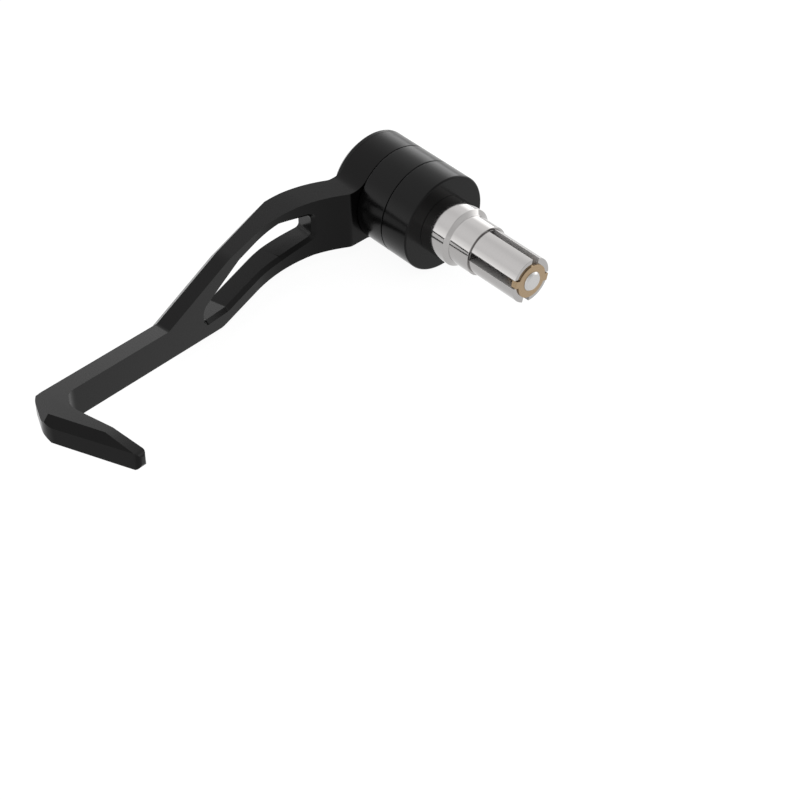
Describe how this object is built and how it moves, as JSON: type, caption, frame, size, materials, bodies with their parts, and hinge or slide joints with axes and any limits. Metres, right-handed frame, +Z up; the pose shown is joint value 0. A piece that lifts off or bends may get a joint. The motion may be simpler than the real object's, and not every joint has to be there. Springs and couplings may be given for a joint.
{
  "type": "brake lever guard",
  "caption": "Motorcycle bar-end brake lever guard: cranked, slotted blade with a hooked nose on a capped round hub, clamped by spacers and an expanding collet plug.",
  "frame": {"origin": "on the handlebar's axis, at the plane where the inner spacer meets the bar's end", "axes": "+X inboard along the plug, -Y forward along the blade, +Z up"},
  "size_m": [0.0709, 0.1547, 0.03],
  "materials": {
    "black_anodised": "glossy black anodised",
    "plain_aluminium": "bright turned",
    "brass": "turned",
    "steel": "zinc plated"
  },
  "bodies": {
    "clamp": {"middle_spacer": "black_anodised", "inner_spacer": "black_anodised", "stepped_sleeve": "plain_aluminium", "split_collet": "plain_aluminium", "wedge_nut": "brass", "clamp_bolt": "steel", "bolt_washer": "steel"},
    "blade": {"guard_blade": "black_anodised", "end_cap": "black_anodised"}
  },
  "joints": [
    {"name": "blade_swivel", "type": "hinge", "parent": "clamp", "child": "blade", "pos_m": [-0.022, 0, 0], "axis": [1, 0, 0], "continuous": true}
  ]
}
